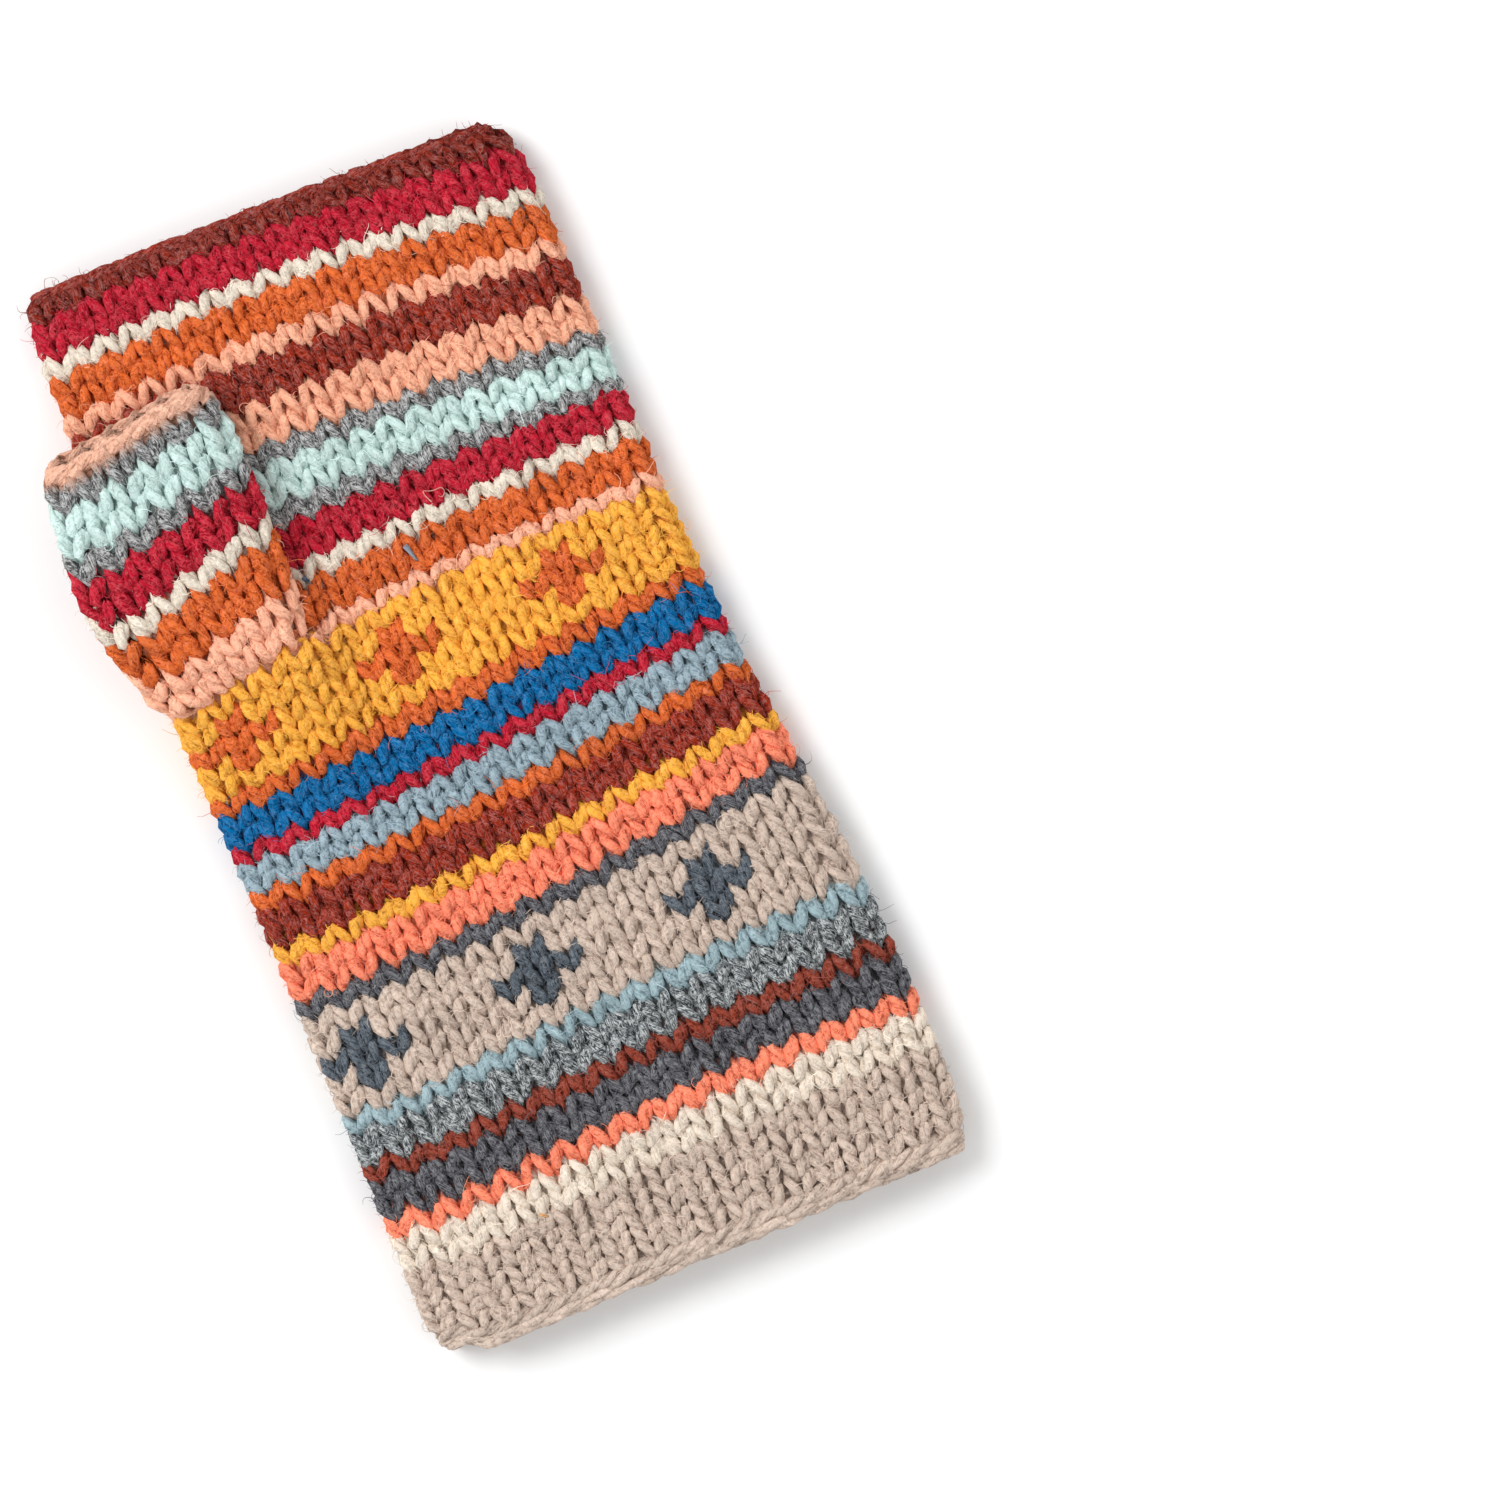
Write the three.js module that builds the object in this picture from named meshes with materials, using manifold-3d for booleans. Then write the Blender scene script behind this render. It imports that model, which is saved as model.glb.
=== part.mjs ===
// A hand-knitted wrist warmer for the left hand, lying flat with the palm side up.
// X runs across the hand with the thumb at -X, Y along it with the finger end at +Y, Z is up.
// The underside lies on z = 0 and the origin is the middle of that flat face. Millimetres.
import * as THREE from "three";
import { mergeVertices } from "three/addons/utils/BufferGeometryUtils.js";
import Module from "manifold-3d";

const wasm = await Module();
wasm.setup();

const WALL = 3.6; // thickness of the knitted cloth
const GAP = 0.3; // clearance between neighbouring pieces
const HAND_HEIGHT = 12.4; // the flattened tube from the surface to the top of the palm
const FOLD_HEIGHT = 10.4; // the same beside the two folded sides
const FOLD = FOLD_HEIGHT / 2; // radius of a folded side
const CROWN_WIDTH = 18; // how far in from a fold the palm takes to reach its full height
const CHAIN = 1.3; // half the thickness of an edge chain along the tube

// Sides of the hand at a place along it.
const handSides = [
  { y: -116, left: -54.6, right: 57.2 },
  { y: -106, left: -56.6, right: 59.2 },
  { y: -92, left: -56.8, right: 60.0 },
  { y: -71, left: -56.6, right: 59.2 },
  { y: -44, left: -56.6, right: 57.6 },
  { y: -29, left: -56.6, right: 55.8 },
  { y: -12, left: -56.7, right: 53.8 },
  { y: 6, left: -56.8, right: 52.4 },
  { y: 20, left: -57.0, right: 51.6 },
  { y: 30, left: -57.4, right: 51.4 },
  { y: 52, left: -56.0, right: 51.2 },
  { y: 84, left: -55.0, right: 50.8 },
  { y: 101, left: -54.4, right: 50.4 },
  { y: 108, left: -54.0, right: 49.2 },
  { y: 116, left: -53.2, right: 46.4 },
];

// Where the two ends of the hand lie at its left fold, its middle and its right fold.
const WRIST_END = { left: -111.3, middle: -110.7, right: -109.9 };
const FINGER_END = { left: 111.4, middle: 110.9, right: 108.4 };
const CORNER_LIFT = 4.0; // how far the wrist end's left corner is rounded off
const CORNER_SHARE = 0.14; // of half the width

// Sides of the thumb at a place along it.
const thumbSides = [
  { y: 24, left: -57.6, right: -23.8 },
  { y: 34, left: -60.6, right: -23.6 },
  { y: 45, left: -63.8, right: -23.4 },
  { y: 55, left: -64.9, right: -23.4 },
  { y: 70, left: -63.8, right: -23.4 },
  { y: 78, left: -62.6, right: -24.2 },
  { y: 88, left: -61.0, right: -26.2 },
];

// Where the thumb begins and ends, on its upper (front) and lower (back) layer, at its two folds.
const THUMB_BASE = { frontLeft: 25.0, frontRight: 34.0, backLeft: 37.0, backRight: 38.5 };
const THUMB_END = { frontLeft: 77.7, frontRight: 82.3, backLeft: 79.9, backRight: 84.5 };
const THUMB_TOP = 24.6; // height of its upper layer above the surface
const THUMB_REST = HAND_HEIGHT + GAP; // its lower layer lies on the palm
const THUMB_ROOT = 9.0; // its lower layer dips into the thumb hole by the crotch
const ROOT_SHARE = 0.09; // of the thumb's length

// The palm swells towards the thumb.
const SWELL = { from: -5, to: 42, crotch: 37.5, drop: 4.0, full: -30, none: -16 };

const PATCH = { x: 24, y: -93, side: 23.5, thickness: 1.3, bevel: 0.4, push: 0.7 };

// Faces: steps across the palm, round a fold, across the back, and along each tube.
const HAND_STEPS = { top: 18, fold: 5, bottom: 16 };
const THUMB_STEPS = { top: 9, fold: 6, bottom: 8 };
const HAND_STATIONS = 30;
const THUMB_STATIONS = 11;
const CHAIN_SIDES = 8;

const smooth = (t) => THREE.MathUtils.smoothstep(t, 0, 1);

// A column of a table at y, through its rows on a smooth line.
function along(table, column, y) {
  const last = table.length - 1;
  let i = 0;
  while (i < last - 1 && y > table[i + 1].y) {
    i += 1;
  }
  const slope = (k) => {
    const before = table[Math.max(k - 1, 0)];
    const after = table[Math.min(k + 1, last)];
    return (after[column] - before[column]) / (after.y - before.y);
  };
  const step = table[i + 1].y - table[i].y;
  const t = THREE.MathUtils.clamp((y - table[i].y) / step, 0, 1);
  return (
    table[i][column] * (2 * t ** 3 - 3 * t ** 2 + 1) +
    slope(i) * step * (t ** 3 - 2 * t ** 2 + t) +
    table[i + 1][column] * (3 * t ** 2 - 2 * t ** 3) +
    slope(i + 1) * step * (t ** 3 - t ** 2)
  );
}

// A level that runs across the hand: across is -1 at the left fold and 1 at the right one.
function level(end, across) {
  const bend = (end.left + end.right) / 2 - end.middle;
  return end.middle + ((end.right - end.left) / 2) * across + bend * across ** 2;
}

function wristLevel(across) {
  const corner = smooth((-across - (1 - CORNER_SHARE)) / CORNER_SHARE);
  return level(WRIST_END, across) + CORNER_LIFT * corner;
}

// Height of the upper surface over the thumb's own run, from the palm up to the thumb.
function ramp(y) {
  const t = (y - SWELL.from) / (SWELL.to - SWELL.from);
  return HAND_HEIGHT + (THUMB_TOP - HAND_HEIGHT) * smooth(t);
}

// How much the palm is raised beside and below the thumb.
function swell(x, y) {
  const beside = 1 - smooth((x - SWELL.full) / (SWELL.none - SWELL.full));
  const below = 1 - smooth((y - SWELL.crotch) / SWELL.drop);
  return (ramp(Math.min(y, SWELL.crotch + 1)) - HAND_HEIGHT) * beside * below;
}

function palmHeight(x, y, left, right) {
  const inward = Math.min(x - left, right - x) - FOLD;
  const t = THREE.MathUtils.clamp(inward / CROWN_WIDTH, 0, 1);
  const crown = (HAND_HEIGHT - FOLD_HEIGHT) * (1 - (1 - t) ** 2);
  return FOLD_HEIGHT + crown + swell(x, y);
}

// The cloth is pushed up a little over the leather patch.
function patchRise(x, y) {
  const reach = PATCH.side / 2 + 3;
  const over = Math.abs(x - PATCH.x) < reach && Math.abs(y - PATCH.y) < reach;
  return over ? PATCH.push : 0;
}

// Stops round a flattened tube: over the top, round the right fold, back below, round the left.
function stops(steps) {
  const list = [];
  for (let k = 0; k < steps.top; k += 1) {
    list.push({ part: "top", u: k / steps.top });
  }
  for (let k = 0; k < steps.fold; k += 1) {
    list.push({ part: "right", u: 1, angle: Math.PI * (0.5 - k / steps.fold) });
  }
  for (let k = 0; k < steps.bottom; k += 1) {
    list.push({ part: "bottom", u: 1 - k / steps.bottom });
  }
  for (let k = 0; k < steps.fold; k += 1) {
    list.push({ part: "left", u: 0, angle: Math.PI * (1.5 - k / steps.fold) });
  }
  return list;
}

// A loop round the hand at share v of its length, shift beyond it, inset under its surface.
function handLoop(v, shift, inset) {
  return stops(HAND_STEPS).map((stop) => {
    const across = 2 * stop.u - 1;
    const y = THREE.MathUtils.lerp(wristLevel(across), level(FINGER_END, across), v) + shift;
    const left = along(handSides, "left", y);
    const right = along(handSides, "right", y);
    const x = left + FOLD + (right - left - 2 * FOLD) * stop.u;
    if (stop.part === "top") {
      return new THREE.Vector3(x, y, palmHeight(x, y, left, right) - inset);
    }
    if (stop.part === "bottom") {
      return new THREE.Vector3(x, y, inset + patchRise(x, y) * (inset / WALL));
    }
    const high = palmHeight(x, y, left, right) - FOLD;
    const reach = Math.sin(stop.angle) > 0 ? high : FOLD;
    return new THREE.Vector3(
      x + (FOLD - inset) * Math.cos(stop.angle),
      y,
      FOLD + (reach - inset) * Math.sin(stop.angle),
    );
  });
}

// A loop round the thumb at share t of its length. Its lower layer starts further up the hand
// than its upper one, so the loop leans at the base and stands upright further on.
function thumbLoop(t, shift, inset) {
  const at = (name) => THREE.MathUtils.lerp(THUMB_BASE[name], THUMB_END[name], t) + shift;
  const bottom = THREE.MathUtils.lerp(THUMB_ROOT, THUMB_REST, smooth(t / ROOT_SHARE));
  return stops(THUMB_STEPS).map((stop) => {
    const front = THREE.MathUtils.lerp(at("frontLeft"), at("frontRight"), stop.u);
    const back = THREE.MathUtils.lerp(at("backLeft"), at("backRight"), stop.u);
    const top = ramp(front);
    const centre = (top + bottom) / 2;
    const half = (top - bottom) / 2;
    const middle = (front + back) / 2;
    const left = along(thumbSides, "left", middle);
    const right = along(thumbSides, "right", middle);
    const round = Math.min(half, FOLD + 1);
    const x = left + round + (right - left - 2 * round) * stop.u;
    let rise = half - inset;
    let out = 0;
    if (stop.part === "bottom") {
      rise = -rise;
    }
    if (stop.part === "left" || stop.part === "right") {
      out = (round - inset) * Math.cos(stop.angle);
      rise *= Math.sin(stop.angle);
    }
    const y = THREE.MathUtils.lerp(back, front, (rise / half + 1) / 2);
    return new THREE.Vector3(x + out, y, centre + rise);
  });
}

// Triangles over a grid of loops. Round both ways it is a closed skin; otherwise it is capped.
function skin(loops, closed) {
  const count = loops[0].length;
  const points = loops.flat();
  const faces = [];
  const rows = closed ? loops.length : loops.length - 1;
  for (let j = 0; j < rows; j += 1) {
    const here = j * count;
    const next = ((j + 1) % loops.length) * count;
    for (let i = 0; i < count; i += 1) {
      const k = (i + 1) % count;
      faces.push(here + i, here + k, next + k, here + i, next + k, next + i);
    }
  }
  if (!closed) {
    const last = (loops.length - 1) * count;
    const middle = (start) => {
      const sum = new THREE.Vector3();
      for (let i = 0; i < count; i += 1) {
        sum.add(points[start + i]);
      }
      return points.push(sum.divideScalar(count)) - 1;
    };
    const first = middle(0);
    const end = middle(last);
    for (let i = 0; i < count; i += 1) {
      const k = (i + 1) % count;
      faces.push(first, k, i, end, last + i, last + k);
    }
  }
  const geometry = new THREE.BufferGeometry().setFromPoints(points);
  geometry.setIndex(faces);
  return geometry;
}

function toSolid(geometry) {
  const plain = geometry.clone();
  plain.deleteAttribute("normal");
  plain.deleteAttribute("uv");
  const merged = mergeVertices(plain, 1e-4);
  return new wasm.Manifold(
    new wasm.Mesh({
      numProp: 3,
      vertProperties: new Float32Array(merged.attributes.position.array),
      triVerts: new Uint32Array(merged.index.array),
    }),
  );
}

function toGeometry(solid) {
  const mesh = solid.getMesh();
  const positions = new Float32Array(mesh.numVert * 3);
  for (let i = 0; i < mesh.numVert; i += 1) {
    const start = i * mesh.numProp;
    positions.set(mesh.vertProperties.subarray(start, start + 3), i * 3);
  }
  const geometry = new THREE.BufferGeometry();
  geometry.setAttribute("position", new THREE.BufferAttribute(positions, 3));
  geometry.setIndex(new THREE.BufferAttribute(new Uint32Array(mesh.triVerts), 1));
  geometry.computeVertexNormals();
  return geometry;
}

// A knitted tube: its outer skin one way and its inner skin back again.
function wall(loop, stations, outer, inner, shiftBefore, shiftAfter) {
  const outward = [];
  const inward = [];
  for (let j = 0; j <= stations; j += 1) {
    const share = j / stations;
    const shift = THREE.MathUtils.lerp(shiftBefore, shiftAfter, share);
    outward.push(loop(share, shift, outer));
    inward.unshift(loop(share, shift, inner));
  }
  return skin([...outward, ...inward], true);
}

// The chain of stitches that finishes an open end, just beyond that end.
function chain(loop, share, direction) {
  const loops = [];
  const middle = direction * (GAP + CHAIN);
  for (let k = 0; k < CHAIN_SIDES; k += 1) {
    const angle = ((k + 0.5) / CHAIN_SIDES) * 2 * Math.PI;
    const along = middle - CHAIN * Math.cos(angle);
    const inset = (WALL / 2) * (1 - Math.sin(angle));
    loops.push(loop(share, along, inset));
  }
  return skin(loops, true);
}

function patchShape() {
  const side = PATCH.side / 2 - PATCH.bevel;
  const outline = new THREE.Shape();
  outline.moveTo(-side, -side);
  outline.lineTo(side, -side);
  outline.lineTo(side, side);
  outline.lineTo(-side, side);
  outline.closePath();
  const geometry = new THREE.ExtrudeGeometry(outline, {
    depth: PATCH.thickness - 2 * PATCH.bevel,
    bevelEnabled: true,
    bevelThickness: PATCH.bevel,
    bevelSize: PATCH.bevel,
    bevelSegments: 1,
  });
  return geometry;
}

function patchPocket() {
  const side = PATCH.side + 2 * GAP;
  const deep = 2 * (PATCH.thickness + GAP);
  const pocket = new THREE.BoxGeometry(side, side, deep);
  pocket.translate(PATCH.x, PATCH.y, 0);
  return toSolid(pocket);
}

// The hand tube, with a pocket for the patch and the thumb's room cut out of the swollen palm.
function handShape() {
  const tube = toSolid(wall(handLoop, HAND_STATIONS, 0, WALL, 0, 0));
  const room = [];
  for (let j = 0; j <= THUMB_STATIONS; j += 1) {
    room.push(thumbLoop(j / THUMB_STATIONS, j === 0 ? -GAP : 0, -GAP));
  }
  const clear = toSolid(wall(thumbLoop, THUMB_STATIONS, -GAP, WALL + GAP, -GAP, GAP));
  const cut = tube.subtract(toSolid(skin(room, false))).subtract(clear).subtract(patchPocket());
  return toGeometry(cut);
}

const wool = (colour) => new THREE.MeshStandardMaterial({ color: colour, roughness: 0.95 });
const leather = new THREE.MeshStandardMaterial({ color: 0x8a4527, roughness: 0.6 });

function piece(name, geometry, material) {
  if (!geometry.attributes.normal) {
    geometry.computeVertexNormals();
  }
  const mesh = new THREE.Mesh(geometry, material);
  mesh.name = name;
  return mesh;
}

const patch = piece("leather_patch", patchShape(), leather);
patch.position.set(PATCH.x, PATCH.y, PATCH.bevel);

const warmer = new THREE.Group();
warmer.add(
  piece("hand_tube", handShape(), wool(0xe0a83c)),
  piece("thumb_tube", wall(thumbLoop, THUMB_STATIONS, 0, WALL, 0, 0), wool(0xa9ddd5)),
  piece("finger_edge", chain(handLoop, 1, 1), wool(0x7a3a2c)),
  piece("wrist_edge", chain(handLoop, 0, -1), wool(0xb8a498)),
  piece("thumb_edge", chain(thumbLoop, 1, 1), wool(0xeda283)),
  patch,
);

export default warmer;
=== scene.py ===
"""A hand-knitted, striped wool wrist warmer lying flat, palm side up, dressed over its CAD frame."""

import math

import bpy
import numpy as np
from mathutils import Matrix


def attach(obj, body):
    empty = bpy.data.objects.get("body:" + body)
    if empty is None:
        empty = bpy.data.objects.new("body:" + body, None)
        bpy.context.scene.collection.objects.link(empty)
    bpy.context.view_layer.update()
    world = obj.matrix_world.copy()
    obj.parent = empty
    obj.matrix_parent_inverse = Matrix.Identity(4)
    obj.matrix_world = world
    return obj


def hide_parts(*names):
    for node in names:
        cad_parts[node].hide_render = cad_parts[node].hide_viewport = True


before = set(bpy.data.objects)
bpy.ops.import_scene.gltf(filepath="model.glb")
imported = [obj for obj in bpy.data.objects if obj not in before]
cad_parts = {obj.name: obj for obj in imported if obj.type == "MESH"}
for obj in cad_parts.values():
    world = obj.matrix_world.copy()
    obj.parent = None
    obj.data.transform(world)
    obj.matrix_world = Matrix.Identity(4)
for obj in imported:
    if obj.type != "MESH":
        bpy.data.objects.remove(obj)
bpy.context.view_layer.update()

MM = 0.001

# Sizes in millimetres, the same as the solids'.
WALL = 3.6  # how thick the cloth is
HAND_HEIGHT = 12.4  # of the hand's tube, lying flat
FOLD_HEIGHT = 10.4  # of its folds
FOLD = FOLD_HEIGHT / 2
CROWN_WIDTH = 18  # from a fold to the full height
UNDER = 0.45  # how much higher the underside's middle lies, so that its stitches rest on the surface
THUMB_TOP = 24.6
THUMB_REST = 12.7  # the underside of the thumb's tube, which lies on the palm
THUMB_ROOT = 9.0  # and the same at its root
ROOT_SHARE = 0.09  # of the thumb's length, in which its underside comes up from its root
THUMB_FLAT = dict(width=29.0, fold=4.2)  # of the thumb's tube: its flat part and its folds' radius
# The palm swells between y start and end as far as the thumb's crotch, and from x none to x full.
SWELL = dict(start=-5.0, end=42.0, crotch=37.5, drop=4.0, full=-30.0, none=-16.0)
# The palm is open under the thumb, right of the outer wall and above the lower side of the tube.
OPENING = dict(wall=-53.0, right=-24.5, above=6.0, past_base=1.5, past_crotch=3.6)
THUMB_SPAN = dict(left=-58.0, width=34.0)  # where the thumb's base lies across the palm
# The rows beside the opening stop at the thumb's base.
BESIDE_THUMB = dict(right=-24.0, above=6.5)
# The slanting ring of stitches where the thumb's tube begins: its height, which rises below y top.
ROOT_RING = dict(height=11.5, slope=0.95, top=36.5, length=10)
PATCH = dict(x=24.0, y=-93.0, side=23.5, thickness=1.3)

HAND_SIDES = dict(
    y=(-116, -106, -92, -71, -44, -29, -12, 6, 20, 30, 52, 84, 101, 108, 116),
    left=(-54.6, -56.6, -56.8, -56.6, -56.6, -56.6, -56.7, -56.8,
          -57.0, -57.4, -56.0, -55.0, -54.4, -54.0, -53.2),
    right=(57.2, 59.2, 60.0, 59.2, 57.6, 55.8, 53.8, 52.4,
           51.6, 51.4, 51.2, 50.8, 50.4, 49.2, 46.4),
)
THUMB_SIDES = dict(
    y=(24, 34, 45, 55, 70, 78, 88),
    left=(-57.6, -60.6, -63.8, -64.9, -63.8, -62.6, -61.0),
    right=(-24.2, -24.2, -24.0, -23.8, -23.6, -24.2, -26.2),
)
THUMB_BACK = dict(base=(37.0, 38.5), end=(80.9, 84.3))  # left and right levels of the lower layer

STITCHES = 36  # round the hand
THUMB_STITCHES = 12
LEAN = dict(both=0.235, right=0.04)  # how far a loop's legs lean, and its right leg more, in stitches
LOOP = 1.07  # half a loop's height, in rows
DEPTH = 1.12  # how far a leg stands before the loop's head
YARN = dict(leg=1.74, head=0.72)  # yarn radius at a leg's middle and at a loop's ends
STEPS = 12  # steps of a stitch
CORE = 1.25  # radius of the round core that an edge's chain is worked over
# The yarn is two plies twisted together: its outline with two grooves, and one turn's length.
PLIES = np.array((1.0, 0.86, 0.52, 0.86, 1.0, 0.86, 0.52, 0.86))
PLY_TURN = 13.0
SIDES = len(PLIES)
# How unevenly the loops are knitted: as shares of the value, in stitches, in rows and in millimetres.
UNEVEN = dict(
    lean=0.13, height=0.05, radius=0.06, colour=0.07, place=0.035, drift=0.05, level=0.045, depth=0.13
)

# Wool colours as seen, red, green and blue of 255.
WOOL = dict(
    rust=(140, 41, 25),
    brown=(147, 42, 18),
    crimson=(181, 26, 48),
    ecru=(217, 206, 190),
    orange=(209, 100, 43),
    peach=(234, 169, 138),
    blush=(219, 169, 144),
    pink=(238, 175, 145),
    grey=(126, 124, 123),
    mint=(191, 213, 208),
    mustard=(236, 169, 62),
    blue=(0, 100, 155),
    ice=(144, 164, 174),
    coral=(241, 135, 103),
    slate=(83, 82, 88),
    steel=(80, 88, 97),
    taupe=(196, 177, 163),
    sky=(149, 171, 177),
    heather=(107, 111, 113),
    chestnut=(138, 60, 43),
    cream=(222, 208, 192),
)
# How much a wool is mixed with paler and darker fibres, and how much the plain ones are.
HEATHER = dict(grey=0.85, heather=1.0, slate=0.25, steel=0.15, brown=0.15, rust=0.15, ice=0.15)
PLAIN = 0.06
PALE_HEATHER = (0.66, 0.69, 0.69, 1)
DARK_HEATHER = (0.03, 0.032, 0.04, 1)

# Stripes from the finger end to the wrist: wool, rows, and where each begins at the left fold,
# the middle and the right fold.
STRIPES = (
    dict(wool="rust", rows=1, left=113.0, middle=112.4, right=110.4),
    dict(wool="crimson", rows=2, left=109.8, middle=109.4, right=105.6),
    dict(wool="ecru", rows=1, left=101.8, middle=101.4, right=97.2),
    dict(wool="orange", rows=2, left=98.0, middle=98.0, right=93.6),
    dict(wool="peach", rows=1, left=89.8, middle=90.2, right=86.0),
    dict(wool="brown", rows=2, left=85.8, middle=85.8, right=82.0),
    dict(wool="peach", rows=2, left=77.8, middle=77.6, right=74.0),
    dict(wool="grey", rows=1, left=69.6, middle=68.8, right=65.8),
    dict(wool="mint", rows=2, left=66.0, middle=65.4, right=62.8),
    dict(wool="grey", rows=1, left=57.6, middle=57.2, right=55.8),
    dict(wool="crimson", rows=2, left=53.4, middle=53.4, right=53.2),
    dict(wool="ecru", rows=1, left=44.0, middle=45.6, right=46.6),
    dict(wool="orange", rows=2, left=39.6, middle=42.0, right=43.0),
    dict(wool="pink", rows=1, left=30.4, middle=34.2, right=35.0),
    dict(wool="mustard", rows=5, left=25.0, middle=31.6, right=32.0, motif="orange"),
    dict(wool="orange", rows=1, left=6.8, middle=11.2, right=14.6),
    dict(wool="blue", rows=2, left=3.6, middle=6.6, right=11.2),
    dict(wool="crimson", rows=1, left=-4.0, middle=-0.8, right=3.6),
    dict(wool="ice", rows=2, left=-7.2, middle=-4.2, right=0.6),
    dict(wool="orange", rows=1, left=-13.2, middle=-11.4, right=-6.6),
    dict(wool="brown", rows=2, left=-16.8, middle=-15.0, right=-9.8),
    dict(wool="mustard", rows=1, left=-25.2, middle=-22.6, right=-17.6),
    dict(wool="coral", rows=2, left=-28.8, middle=-26.0, right=-21.2),
    dict(wool="slate", rows=1, left=-36.8, middle=-34.2, right=-28.6),
    dict(wool="taupe", rows=5, left=-40.6, middle=-37.6, right=-32.0, motif="steel"),
    dict(wool="sky", rows=1, left=-62.6, middle=-58.6, right=-56.0),
    dict(wool="heather", rows=2, left=-65.8, middle=-62.4, right=-60.4),
    dict(wool="chestnut", rows=1, left=-73.0, middle=-70.0, right=-68.4),
    dict(wool="slate", rows=2, left=-76.2, middle=-73.8, right=-72.2),
    dict(wool="coral", rows=1, left=-84.8, middle=-81.2, right=-80.4),
    dict(wool="cream", rows=2, left=-88.8, middle=-85.6, right=-84.6),
    dict(wool="taupe", rows=5, left=-96.2, middle=-93.2, right=-92.4),
)
WRIST_END = dict(left=-110.4, middle=-109.9, right=-109.5)
CORNER = dict(lift=2.4, share=0.1)  # the wrist end's rounded left corner

# The same for the thumb, on its upper layer, from its rim to its base.
THUMB_STRIPES = (
    dict(wool="grey", rows=1, left=77.4, right=81.8),
    dict(wool="mint", rows=2, left=71.2, right=76.0),
    dict(wool="grey", rows=1, left=61.2, right=66.6),
    dict(wool="crimson", rows=2, left=56.2, right=62.2),
    dict(wool="ecru", rows=1, left=45.8, right=54.4),
    dict(wool="orange", rows=2, left=41.2, right=50.2),
    dict(wool="pink", rows=2, left=31.8, right=39.2),
)
THUMB_BASE = dict(left=24.4, right=29.6)

# A small plus in the wide bands, on every sixth stitch: its columns and the band's rows they fill.
MOTIF = {0: (2,), 1: (1, 2, 3), 2: (2,)}
MOTIF_REPEAT = 6
# How far the stitches are turned round the tube, at places along it.
TURN = dict(y=(-116, -50, 15, 60, 116), stitches=(0.0, 0.05, 0.26, 0.26, 0.2))

# The hand is four pieces, and these rows begin the later three.
PARTS = ("finger", "palm", "arm", "wrist")
PART_CUTS = (15, 30, 44)
BAND_ABOVE = 21  # the first row of the mustard band, which the thumb's base meets
# The extra column of stitches on the thumb side: its rows, its place in stitches, how far it stands
# out, how high its stitches are at full size, and how uneven their lean, depth and level are.
GUSSET = dict(rows=range(16, 27), left=0.093, right=0.427, out=0.2, full=4.5, uneven=(0.02, 0.08, 0.05))
SHADE_GROUND = dict(layers=(0.15, -0.5), shade=0.6, rim_shade=0.7)  # a layer inside the cloth, painted in darkened wool colours as the shade far down between the stitches

# Odd ends of yarn and a curled fibre that were caught in the knitting.
BITS = (
    dict(colour=(132, 138, 150), radius=0.62, height=13.3, path=((-0.9, 40.3), (0.2, 36.6))),
    dict(colour=(70, 96, 124), radius=0.5, height=12.6, path=((-22.2, 42.1), (-21.4, 40.9))),
    dict(colour=(250, 178, 160), radius=0.13, height=14.0,
         path=((7.4, 46.2), (6.6, 47.9), (6.5, 49.1), (7.6, 48.5), (8.8, 48.2),
               (10.3, 48.4), (10.7, 47.3), (9.8, 46.3), (9.1, 46.9))),
    dict(colour=(232, 172, 112), radius=0.42, height=12.9, path=((-26.8, -93.6), (-25.4, -94.6))),
)
# pale: how much the loose fibres are whitened, as a painted highlight.
LONG_FIBRES = dict(count=10000, steps=6, length=(2.2, 5.5), width=0.15, lift=0.35, pale=0.06)
SHORT_FIBRES = dict(count=45000, steps=2, length=(0.8, 2.6), width=0.12, lift=0.6, pale=0.03)

LEATHER = dict(face=0.26, rim=0.45, corner=1.2, seam=2.0, groove=0.16, worn=1.2, holes=11)
THREAD = dict(length=1.5, radius=0.24, colour=(58, 26, 18))

# The photograph looks straight down. Its frame is 299.2 mm wide on the palm, with its middle here.
FRAME_WIDTH = 0.2992
FRAME_CENTRE = (0.0472, -0.0232)
ROLL = -22.3
DISTANCE = 1.5
FILM = 36


def smooth(t):
    """Eases t from 0 to 1."""
    t = np.clip(t, 0, 1)
    return t * t * (3 - 2 * t)


def mix(a, b, t):
    """A share t of the way from a to b."""
    return a + (b - a) * t


def along(table, column, y):
    """A column of a table at y, through its rows on a smooth line."""
    ys, values = np.array(table["y"], float), np.array(table[column], float)
    slopes = np.gradient(values, ys)
    slopes[1:-1] = (values[2:] - values[:-2]) / (ys[2:] - ys[:-2])
    i = np.clip(np.searchsorted(ys, y) - 1, 0, len(ys) - 2)
    step = ys[i + 1] - ys[i]
    t = np.clip((y - ys[i]) / step, 0, 1)
    return (
        values[i] * (2 * t**3 - 3 * t**2 + 1)
        + slopes[i] * step * (t**3 - 2 * t**2 + t)
        + values[i + 1] * (3 * t**2 - 2 * t**3)
        + slopes[i + 1] * step * (t**3 - t**2)
    )


def row_edges(stripes, end, names):
    """Levels of every row's upper edge, and of the last one's lower edge."""
    edges = {name: [] for name in names}
    for stripe, below in zip(stripes, stripes[1:] + (end,)):
        for row in range(stripe["rows"]):
            for name in names:
                edges[name].append(mix(stripe[name], below[name], row / stripe["rows"]))
    for name in names:
        edges[name].append(end[name])
    return {name: np.array(values, float) for name, values in edges.items()}


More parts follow.
